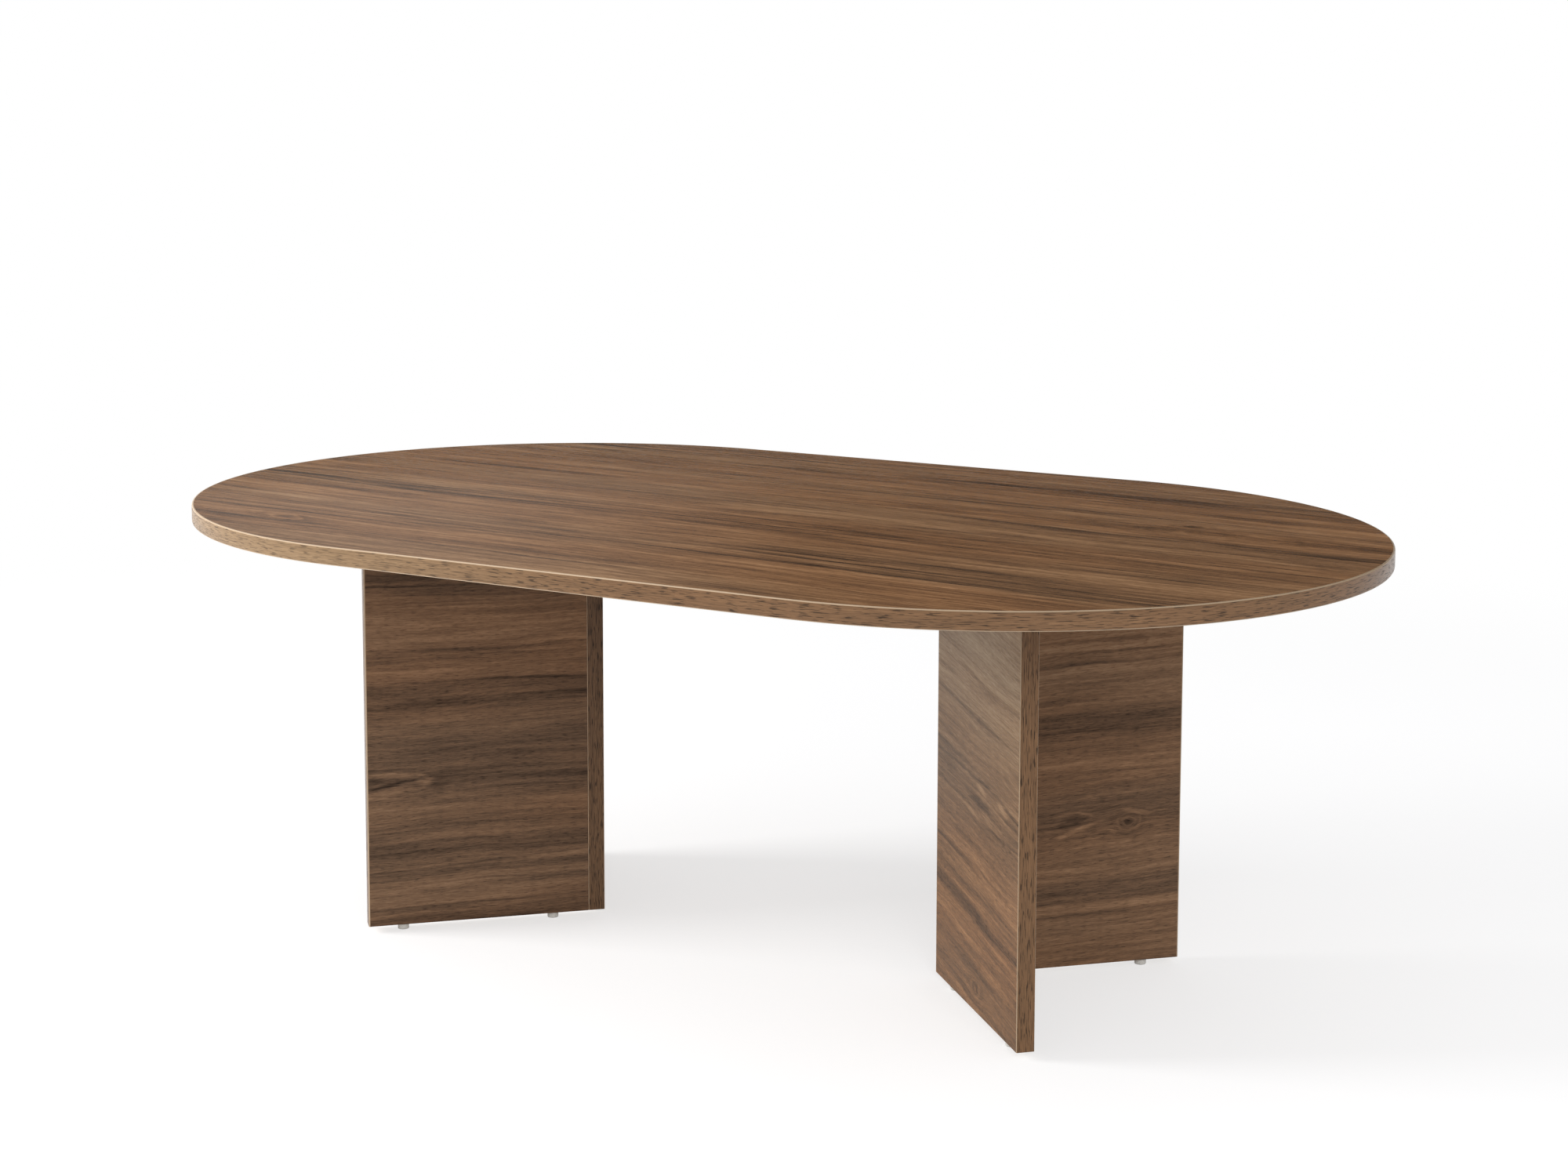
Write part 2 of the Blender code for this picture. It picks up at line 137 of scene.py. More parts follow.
# walnut decor: bands across the grain, dark lines, fibre and pores, bent round the knots
walnut = {
    "tones": [
        (0.00, (0.020, 0.011, 0.007)),
        (0.20, (0.054, 0.033, 0.021)),
        (0.40, (0.121, 0.072, 0.044)),
        (0.55, (0.184, 0.105, 0.060)),
        (0.75, (0.290, 0.172, 0.098)),
        (1.00, (0.430, 0.280, 0.170)),
    ],
    "layers": {  # repeats along and across, detail, roughness, seed step
        "sway": ((1.9, 6.0), 1.0, 0.5, 0.0),
        "ripple": ((9.0, 36.0), 2.0, 0.5, 3.1),
        "wobble": ((45.0, 90.0), 2.0, 0.5, 5.3),
        "broad": ((0.7, 9.0), 2.0, 0.5, 1.3),
        "streaks": ((2.0, 36.0), 2.0, 0.6, 3.9),
        "calm": ((1.4, 8.0), 1.0, 0.5, 5.2),
        "strands": ((6.5, 150.0), 3.0, 0.8, 6.1),
        "lines": ((1.2, 90.0), 3.0, 0.6, 2.7),
        "lineGroups": ((0.9, 13.0), 2.0, 0.5, 4.9),
        "fibre": ((80.0, 1000.0), 2.0, 0.6, 7.7),
        "pores": ((110.0, 1400.0), 1.0, 0.5, 8.2),
        "warmth": ((1.1, 9.0), 2.0, 0.5, 9.4),
    },
    "frayStep": 5.9,
    "swayBy": 0.020,
    "rippleBy": 0.006,
    "knotFade": 0.6,
    "knotWobble": 0.7,
    "strokeFray": 1.4,
    "strokeEdge": (1.3, 0.3),
    "broadBy": 0.16,
    "calmFrom": (0.38, 0.62),
    "calmLeast": 0.45,  # share of the streaks kept on plain stretches
    "lineFrom": (0.53, 0.64),
    "groupFrom": (0.44, 0.58),
    "darkFrom": (0.30, 0.48),
    "fibreBy": 0.28,
    "poreFrom": (0.58, 0.70),
    "poreDepth": 0.15,
    "warm": (1.05, 0.985, 0.93, 1),
    "warmFrom": (0.35, 0.65),
    "decorFacing": 0.7,  # printed on the faces, raw on the edges
    "fibreGloss": 0.5,
    "poreGloss": 0.5,
    "fibreRelief": 0.35,
    "reliefDepth": 0.0002,
}


def leaning(tree, along, across, middle, level, lean):
    run = calc(tree, "SUBTRACT", along, middle)
    rest = calc(tree, "SUBTRACT", across, level)
    return run, calc(tree, "SUBTRACT", rest, calc(tree, "MULTIPLY", run, lean))


def knotTone(tree, along, across, knot, wobble):
    run, offset = leaning(tree, along, across, *knot["at"], knot["lean"])
    side = calc(tree, "DIVIDE", run, knot["size"][0])
    level = calc(tree, "DIVIDE", offset, knot["size"][1])
    spread = addUp(tree, squared(tree, side), squared(tree, level))
    near = calc(tree, "EXPONENT", calc(tree, "MULTIPLY", spread, -walnut["knotFade"]))
    push = calc(tree, "MULTIPLY", calc(tree, "MULTIPLY", offset, near), -knot["pull"])
    away = addUp(tree, calc(tree, "SQRT", spread), swing(tree, wobble, walnut["knotWobble"]))
    reach = knot["rings"][-1][0]
    zero = 0.5  # a ramp holds no negative tones
    stops = [(at / reach, zero + tone) for at, tone in knot["rings"]]
    rings = ramp(tree, calc(tree, "DIVIDE", away, reach), stops)
    return push, calc(tree, "SUBTRACT", rings, zero)


# a single stroke: along, across, half length, half width, lean, tone
def strokeTone(tree, along, across, stroke, fray):
    middle, level, length, width, lean, tone = stroke
    run, offset = leaning(tree, along, across, middle, level, lean)
    side = squared(tree, calc(tree, "DIVIDE", run, length))
    rest = squared(tree, calc(tree, "DIVIDE", offset, width))
    spread = calc(tree, "SQRT", addUp(tree, side, rest))
    away = addUp(tree, spread, swing(tree, fray, walnut["strokeFray"]))
    return calc(tree, "MULTIPLY", rise(tree, away, *walnut["strokeEdge"]), tone)


def walnutTone(tree, along, across, look):
    seed = look["seed"]
    plain = addNode(tree, "ShaderNodeCombineXYZ", {0: along, 1: across}).outputs[0]
    sway = swing(tree, layer(tree, plain, walnut, "sway", seed), walnut["swayBy"])
    ripple = swing(tree, layer(tree, plain, walnut, "ripple", seed), walnut["rippleBy"])
    slope = calc(tree, "MULTIPLY", along, look["slope"])
    height = addUp(tree, across, slope, sway, ripple)
    figure = 0.0
    wobble = layer(tree, plain, walnut, "wobble", seed) if look["knots"] else None
    for knot in look["knots"]:
        push, tone = knotTone(tree, along, across, knot, wobble)
        height = calc(tree, "ADD", height, push)
        figure = calc(tree, "ADD", figure, tone)
    fray = noise(tree, plain, look["fray"], seed + walnut["frayStep"])
    rippled = addUp(tree, across, ripple)
    for stroke in look["strokes"]:
        figure = calc(tree, "ADD", figure, strokeTone(tree, along, rippled, stroke, fray))
    flow = addNode(tree, "ShaderNodeCombineXYZ", {0: along, 1: height}).outputs[0]

    low, high = look["reach"]
    level = calc(tree, "DIVIDE", calc(tree, "SUBTRACT", height, low), high - low)
    stops = [[((at - low) / (high - low), tone) for at, tone in bands] for bands in look["bands"]]
    bands = ramp(tree, level, stops[0])
    if len(stops) > 1:
        turn = rise(tree, along, *look["turn"])
        bands = mixColour(tree, turn, bands, ramp(tree, level, stops[1]))
    broad = swing(tree, layer(tree, flow, walnut, "broad", seed), walnut["broadBy"])
    streaks = swing(tree, layer(tree, flow, walnut, "streaks", seed), look["streaks"])
    calm = rise(tree, layer(tree, flow, walnut, "calm", seed), *walnut["calmFrom"])
    least = walnut["calmLeast"]
    share = addUp(tree, calc(tree, "MULTIPLY", calm, 1.0 - least), least)
    streaks = calc(tree, "MULTIPLY", streaks, share)
    strands = swing(tree, layer(tree, flow, walnut, "strands", seed), look["strands"])

    # dark lines run in groups and in the dark bands
    lines = rise(tree, layer(tree, flow, walnut, "lines", seed), *walnut["lineFrom"])
    groups = rise(tree, layer(tree, flow, walnut, "lineGroups", seed), *walnut["groupFrom"])
    dark = calc(tree, "SUBTRACT", 1.0, rise(tree, bands, *walnut["darkFrom"]))
    lines = calc(tree, "MULTIPLY", lines, calc(tree, "MAXIMUM", groups, dark))
    fibre = layer(tree, flow, walnut, "fibre", seed)
    pores = rise(tree, layer(tree, flow, walnut, "pores", seed), *walnut["poreFrom"])
    tone = addUp(
        tree, bands, broad, streaks, strands, figure, look["lift"],
        calc(tree, "MULTIPLY", lines, -look["lineDepth"]),
        swing(tree, fibre, walnut["fibreBy"]),
        calc(tree, "MULTIPLY", pores, -walnut["poreDepth"]),
    )
    return flow, tone, fibre, pores


def finishWood(tree, shader, colour, fibre, pores, look):
    feed(tree, shader.inputs["Base Color"], colour)
    dulled = calc(tree, "MULTIPLY", pores, walnut["poreGloss"])
    worn = addUp(tree, swing(tree, fibre, walnut["fibreGloss"]), dulled, 1.0)
    feed(tree, shader.inputs["Roughness"], calc(tree, "MULTIPLY", worn, look["roughness"]))
    shader.inputs["Specular IOR Level"].default_value = look["specular"]
    relief = calc(tree, "SUBTRACT", calc(tree, "MULTIPLY", fibre, walnut["fibreRelief"]), pores)
    bumped(tree, shader, relief, look["bump"], walnut["reliefDepth"])


# pressed chips show where a board is sawn or bored
chipboard = {
    "chip": 420.0,
    "shuffle": 3.7,  # neighbouring chips get unlike tones
    "tones": [(0.0, (0.22, 0.14, 0.08)), (0.45, (0.46, 0.33, 0.21)), (1.0, (0.56, 0.43, 0.29))],
}


def chipColour(tree, place):
    cells = addNode(tree, "ShaderNodeTexVoronoi", {"Vector": place, "Scale": chipboard["chip"]})
    shade = calc(tree, "FRACT", calc(tree, "MULTIPLY", cells.outputs["Color"], chipboard["shuffle"]))
    return ramp(tree, shade, chipboard["tones"])


def boardMaterial(name, look):
    material, tree, shader = newMaterial(name)
    coords = addNode(tree, "ShaderNodeTexCoord")
    inputs = {0: coords.outputs["Object"], 1: look["start"]}
    place = addNode(tree, "ShaderNodeVectorMath", inputs, operation="SUBTRACT").outputs[0]
    along = dotWith(tree, place, look["alongGrain"])
    across = dotWith(tree, place, look["acrossGrain"])
    flow, tone, fibre, pores = walnutTone(tree, along, across, look)
    tint = look["tint"]
    # painted reflection: greyer towards the upper edge of the through panels
    if "paleTint" in look:
        tint = mixColour(tree, rise(tree, across, *look["paleFrom"]), tint, look["paleTint"])
    colour = mixColour(tree, 1.0, ramp(tree, tone, walnut["tones"], "LINEAR"), tint, "MULTIPLY")
    warmth = layer(tree, flow, walnut, "warmth", look["seed"])
    warm = mixColour(tree, 1.0, colour, walnut["warm"], "MULTIPLY")
    colour = mixColour(tree, rise(tree, warmth, *walnut["warmFrom"]), colour, warm)
    facing = calc(tree, "ABSOLUTE", dotWith(tree, coords.outputs["Normal"], look["faceNormal"]))
    decor = calc(tree, "GREATER_THAN", facing, walnut["decorFacing"])
    colour = mixColour(tree, decor, chipColour(tree, coords.outputs["Object"]), colour)
    finishWood(tree, shader, colour, fibre, pores, look)
    return material


# meshes swept from one profile, with a length map for materials that follow the piece
edgeAngle = 30  # degrees, a sharper turn stays crisp


def bandProfile(thickness, width, radius, steps):
    half = width / 2
    points = [(0.0, half)]
    for i in range(steps + 1):
        angle = math.pi / 2 * (1 - i / steps)
        reach = thickness - radius + radius * math.cos(angle)
        points.append((reach, half - radius + radius * math.sin(angle)))
    return points + [(reach, -side) for reach, side in reversed(points)]


def showMesh(name, mesh, sharpAngle):
    mesh.shade_smooth()
    mesh.set_sharp_from_angle(angle=math.radians(sharpAngle))
    piece = bpy.data.objects.new(name, mesh)
    scene.collection.objects.link(piece)
    return piece


def toObject(name, bm):
    bmesh.ops.recalc_face_normals(bm, faces=bm.faces)
    mesh = bpy.data.meshes.new(name)
    bm.to_mesh(mesh)
    bm.free()
    return showMesh(name, mesh, edgeAngle)


def sweep(name, stations, profile, closed):
    gaps = [math.dist(a, b) for a, b in zip(profile, profile[1:] + profile[:1])]
    girth = [sum(gaps[:i]) for i in range(len(profile) + 1)]
    bm = bmesh.new()
    lengths = bm.loops.layers.uv.new("bandLength")
    rings = []
    for origin, outward, side, length in stations:
        rings.append([bm.verts.new(origin + outward * reach + side * offset) for reach, offset in profile])
    if closed:
        rings[-1] = rings[0]  # the last station only carries the full length
    for i in range(len(stations) - 1):
        for j in range(len(profile)):
            k = (j + 1) % len(profile)
            face = bm.faces.new((rings[i][j], rings[i + 1][j], rings[i + 1][k], rings[i][k]))
            marks = ((i, j), (i + 1, j), (i + 1, j + 1), (i, j + 1))
            for loop, (a, b) in zip(face.loops, marks):
                loop[lengths].uv = (stations[a][3], girth[b])
    if not closed:
        for ring in (rings[0], rings[-1]):
            bm.faces.new(ring)
    loose = [v for v in bm.verts if not v.link_faces]
    bmesh.ops.delete(bm, geom=loose, context="VERTS")
    return toObject(name, bm)


def setFinish(piece, material):
    piece.data.materials.clear()
    piece.data.materials.append(material)


def finishPiece(piece, material, slot, *nodes):
    setFinish(piece, material)
    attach(piece, "root")
    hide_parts(*nodes)


# table top
top = {
    "straight": 0.250,
    "radius": 0.400,
    "band": 0.002,
    "bandRound": 0.0015,
    "roundSteps": 5,
    "printOver": 0.25,  # share of each rounding that the print covers
    "low": 0.448,
    "high": 0.466,
    "endSteps": 120,
    "seamAt": -0.10,  # where the ends of the strip meet, on the back
    "glueLine": 0.00003,
    "tipWidth": 1e-6,  # narrower than this, a row is one point
}
topLook = {
    "start": (0, 0, 0),
    "alongGrain": (1, 0, 0),
    "acrossGrain": (0, 1, 0),
    "faceNormal": (0, 0, 1),
    "slope": 0.06,
    "tint": (1.0, 0.925, 0.80, 1),
    "lift": 0.18,
    "streaks": 0.80,
    "strands": 0.95,
    "lineDepth": 0.24,
    "specular": 0.03,
    "roughness": 0.055,
    "bump": 0.03,
    "seed": 11.3,
    "reach": (-0.44, 0.44),
    "turn": (-0.25, 0.25),
    "bands": [
        [  # left half, a little lighter overall: partly the print, partly painted sheen from the left
            (-0.420, 0.54), (-0.372, 0.55), (-0.356, 0.45), (-0.332, 0.44), (-0.308, 0.46), (-0.294, 0.53),
            (-0.270, 0.49), (-0.248, 0.44), (-0.220, 0.48), (-0.190, 0.53), (-0.140, 0.53), (-0.100, 0.49),
            (-0.080, 0.43), (-0.055, 0.44), (-0.034, 0.51), (0.000, 0.52), (0.090, 0.51), (0.140, 0.49),
            (0.180, 0.52), (0.220, 0.52), (0.240, 0.49), (0.258, 0.43), (0.278, 0.44), (0.306, 0.49),
            (0.400, 0.49),
        ],
        [  # right half
            (-0.380, 0.44), (-0.330, 0.47), (-0.290, 0.44), (-0.268, 0.40), (-0.248, 0.50), (-0.234, 0.37),
            (-0.218, 0.42), (-0.203, 0.35), (-0.184, 0.41), (-0.164, 0.47), (-0.130, 0.49), (-0.080, 0.47),
            (-0.054, 0.41), (-0.046, 0.34), (-0.039, 0.43), (-0.019, 0.48), (0.020, 0.46), (0.060, 0.44),
            (0.100, 0.41), (0.140, 0.43), (0.180, 0.47), (0.210, 0.50), (0.246, 0.50), (0.262, 0.41),
            (0.284, 0.35), (0.310, 0.39), (0.340, 0.47), (0.370, 0.49), (0.415, 0.43),
        ],
    ],
    "knots": [
        {  # dark knot on the right
            "at": (0.420, 0.136), "size": (0.014, 0.010), "lean": 0.0, "pull": 0.9,
            "rings": [(0.0, -0.26), (0.5, -0.20), (1.0, -0.02), (1.5, -0.08), (2.2, 0.0)],
        },
        {  # long eye below it
            "at": (0.470, 0.100), "size": (0.110, 0.030), "lean": -0.08, "pull": 0.7,
            "rings": [
                (0.0, 0.02), (0.3, -0.06), (0.5, 0.03), (0.75, -0.07), (1.0, 0.02), (1.3, -0.05), (1.8, 0.0),
            ],
        },
        {  # knot at the left front
            "at": (-0.408, -0.280), "size": (0.034, 0.014), "lean": -0.2, "pull": 0.8,
            "rings": [(0.0, -0.20), (0.4, -0.10), (0.7, 0.06), (1.0, -0.14), (1.5, -0.04), (2.2, 0.0)],
        },
    ],
    "fray": (9.0, 120.0),
    "strokes": [  # right half first
        (0.290, 0.288, 0.200, 0.0080, -0.05, -0.12),
        (0.300, 0.290, 0.170, 0.0030, -0.05, -0.13),
        (0.250, 0.279, 0.200, 0.0022, -0.05, -0.11),
        (0.190, 0.250, 0.200, 0.0090, -0.05, 0.08),
        (0.385, -0.052, 0.260, 0.0040, -0.06, -0.18),
        (0.385, -0.040, 0.240, 0.0040, -0.06, 0.07),
        (0.375, -0.170, 0.180, 0.0200, -0.05, 0.06),
        (0.360, -0.227, 0.200, 0.0045, -0.06, -0.16),
        (0.380, -0.240, 0.180, 0.0026, -0.06, -0.13),
        (0.330, -0.212, 0.200, 0.0026, -0.06, -0.11),
        (0.350, -0.268, 0.180, 0.0060, -0.06, 0.08),
        (-0.410, 0.302, 0.100, 0.0060, -0.05, -0.12),
        (-0.390, 0.250, 0.040, 0.0120, 0.0, -0.08),
        (-0.350, -0.040, 0.260, 0.0040, -0.04, -0.15),
        (-0.360, -0.052, 0.240, 0.0030, -0.04, -0.13),
        (-0.380, -0.020, 0.220, 0.0030, -0.04, -0.10),
        (-0.330, -0.066, 0.200, 0.0030, -0.04, -0.09),
        (-0.320, -0.215, 0.230, 0.0060, -0.06, -0.12),
        (-0.300, -0.228, 0.200, 0.0024, -0.06, -0.13),
        (-0.200, -0.312, 0.250, 0.0050, -0.05, -0.14),
        (-0.160, -0.322, 0.220, 0.0024, -0.05, -0.13),
        # a broad light stroke along the front: painted sheen
        (-0.050, -0.355, 0.350, 0.0350, 0.0, 0.09),
    ],
}


def capsuleSide(radius):
    steps = top["endSteps"] // 2
    angles = [math.pi / 2 * i / steps for i in range(steps + 1)]
    left = [(-top["straight"] - radius * math.cos(a), radius * math.sin(a)) for a in angles]
    return left + [(-x, y) for x, y in reversed(left)]


def makeTopBoard():
    bm = bmesh.new()
    rows = []
    for x, y in capsuleSide(top["radius"] - top["band"] - top["glueLine"]):
        sides = (0,) if y < top["tipWidth"] else (-y, y)
        rows.append([[bm.verts.new((x, side, z)) for side in sides] for z in (top["high"], top["low"])])
    for (upA, downA), (upB, downB) in zip(rows, rows[1:]):
        bm.faces.new([*upA, *reversed(upB)])
        bm.faces.new([*downA, *reversed(downB)])
        bm.faces.new((upA[0], upB[0], downB[0], downA[0]))
        bm.faces.new((upA[-1], upB[-1], downB[-1], downA[-1]))
    return toObject("table_top_board", bm)


def makeRim():
    radius = top["radius"] - top["band"]
    middle = (top["low"] + top["high"]) / 2
    places = [(Vector((top["seamAt"], radius, middle)), Vector((0, 1, 0)))]
    for centre, first in ((-top["straight"], math.pi / 2), (top["straight"], -math.pi / 2)):
        for i in range(top["endSteps"] + 1):
            angle = first + math.pi * i / top["endSteps"]
            outward = Vector((math.cos(angle), math.sin(angle), 0))
            places.append((Vector((centre, 0, middle)) + outward * radius, outward))
    places.append(places[0])
    stations = []
    length = 0.0
    for i, (origin, outward) in enumerate(places):
        if i:
            length += (origin - places[i - 1][0]).length
        stations.append((origin, outward, Vector((0, 0, 1)), length))
    profile = bandProfile(top["band"], top["high"] - top["low"], top["bandRound"], top["roundSteps"])
    return sweep("table_top_rim", stations, profile, True), length


# edge bands: printed face, plain milled arrises
bandFinish = {
    "arris": [(0.36, 0.265, 0.175, 1), (0.58, 0.435, 0.30, 1)],  # tan, and a painted highlight in a pale buff round the left end
    "arrisHighlight": [(0.2, 0.9), (2.3, 1.5)],  # lengths over which the painted highlight comes and goes
    "paleLift": 0.18,
    "tint": [(1.0, 0.955, 0.84, 1), (1.0, 1.10, 1.06, 1)],  # plain, and on the painted lit stretch
    "layers": {  # repeats along and across, detail, roughness, seed
        "broad": ((2.0, 60.0), 2.0, 0.5, 2.3),
        "strands": ((6.0, 420.0), 3.0, 0.5, 4.4),
        "fibre": ((40.0, 1000.0), 2.0, 0.6, 6.8),
        "pores": ((70.0, 1000.0), 1.0, 0.5, 8.9),
    },
    "broadBy": 0.12,
    "strandsBy": 0.20,
    "fibreBy": 0.28,
    "poreFrom": (0.58, 0.68),
    "poreDepth": 0.30,
    "roughness": 0.28,
    "fibreGloss": 0.10,
    "poreGloss": 0.15,
    "fibreRelief": 0.3,
    "bump": 0.08,
    "reliefDepth": 0.0002,
}
rimBand = {
    "blend": 0.0003,
    "tone": 0.52,
    "specular": 0.18,
    "pale": [(0.55, 1.05), (1.82, 1.36)],  # painted light: a brighter, paler stretch round the left end
}


def printedFace(piece, width):
    arc = math.pi / 2 * piece["bandRound"]
    flat = piece["band"] - piece["bandRound"]
    straight = width - 2 * piece["bandRound"]
    over = piece["printOver"]
    return flat + arc * (1 - over), flat + arc * (1 + over) + straight


def bandMaterial(name, face, look):
    material, tree, shader = newMaterial(name)
    coords = addNode(tree, "ShaderNodeUVMap", uv_map="bandLength").outputs[0]
    length, girth = addNode(tree, "ShaderNodeSeparateXYZ", {0: coords}).outputs[:2]
    broad = swing(tree, layer(tree, coords, bandFinish, "broad"), bandFinish["broadBy"])
    strands = swing(tree, layer(tree, coords, bandFinish, "strands"), bandFinish["strandsBy"])
    fibre = layer(tree, coords, bandFinish, "fibre")
    pores = rise(tree, layer(tree, coords, bandFinish, "pores"), *bandFinish["poreFrom"])
    tone = addUp(
        tree, broad, strands, swing(tree, fibre, bandFinish["fibreBy"]),
        calc(tree, "MULTIPLY", pores, -bandFinish["poreDepth"]), look["tone"],
    )
    tint = bandFinish["tint"][0]
    # painted light: the rim's face is lifted and paled round the left end, where the light from the left
    # falls
    if "pale" in look:
        litEnd = calc(tree, "MULTIPLY", *[rise(tree, length, *span) for span in look["pale"]])
        tone = addUp(tree, tone, calc(tree, "MULTIPLY", litEnd, bandFinish["paleLift"]))
        tint = mixColour(tree, litEnd, *bandFinish["tint"])
    colour = mixColour(tree, 1.0, ramp(tree, tone, walnut["tones"], "LINEAR"), tint, "MULTIPLY")
    # painted highlight: the arris pales round the left end, where the light from the left falls
    arrisHighlight = calc(tree, "MULTIPLY", *[rise(tree, length, *span) for span in bandFinish["arrisHighlight"]])
    arris = mixColour(tree, arrisHighlight, *bandFinish["arris"])
    start = rise(tree, girth, face[0] - look["blend"], face[0] + look["blend"])
    end = rise(tree, girth, face[1] + look["blend"], face[1] - look["blend"])
    printed = calc(tree, "MULTIPLY", start, end)
    feed(tree, shader.inputs["Base Color"], mixColour(tree, printed, arris, colour))
    dulled = calc(tree, "MULTIPLY", pores, bandFinish["poreGloss"])
    gloss = addUp(tree, swing(tree, fibre, bandFinish["fibreGloss"]), dulled, bandFinish["roughness"])
    feed(tree, shader.inputs["Roughness"], gloss)
    shader.inputs["Specular IOR Level"].default_value = look["specular"]
    relief = calc(tree, "SUBTRACT", calc(tree, "MULTIPLY", fibre, bandFinish["fibreRelief"]), pores)
    relief = calc(tree, "MULTIPLY", relief, printed)
    bumped(tree, shader, relief, bandFinish["bump"], bandFinish["reliefDepth"])
    return material


board = makeTopBoard()
finishPiece(board, boardMaterial("walnut top", topLook), "walnut_top", "table_top")
rim, rimLength = makeRim()
rimFace = printedFace(top, top["high"] - top["low"])
finishPiece(rim, bandMaterial("walnut rim band", rimFace, rimBand), "walnut_band", "top_edge_band")
print("table top and rim made, rim", round(rimLength, 3), "m round")


# legs
legs = {
    "cornerOffset": 0.203,
    "turn": {"right": 45, "left": 225},
    "panelWidth": 0.240,
    "panelThickness": 0.018,
    "seam": 0.0003,
    "low": 0.0068,
    "high": 0.4477,
    "band": 0.0013,
    "bandRound": 0.0008,
    "roundSteps": 4,
    "printOver": 0.3,
    "stripSteps": 6,
    "glueLine": 0.00002,
    "nextStrip": 0.61,  # each strip is cut from further along the roll
}
legBands = {
    # the left leg's bands get a darker tone: painted shade, deep under the top
    "left": {"blend": 0.0002, "tone": 0.42, "specular": 0.14},
    "right": {"blend": 0.0002, "tone": 0.50, "specular": 0.14},
}
panelFinish = {
    "acrossGrain": (0, 0, 1),
    "lineDepth": 0.10,
    "specular": 0.03,
    "roughness": 0.25,
    "bump": 0.08,
    "reach": (-0.02, 0.49),
    "fray": (60.0, 300.0),
}
panelKinds = {
    "through": {
        "tint": (1.0, 0.91, 0.75, 1),
        "paleTint": (1.0, 1.16, 1.26, 1),  # painted reflection: greyer towards the upper edge, the haze of the bright floor in the gloss
        "paleFrom": (0.06, 0.31),
        "streaks": 0.36,
        "strands": 0.56,
    },
    "butt": {
        "tint": (1.0, 1.04, 1.08, 1),
        "streaks": 0.26,
        "strands": 0.52,
    },
}
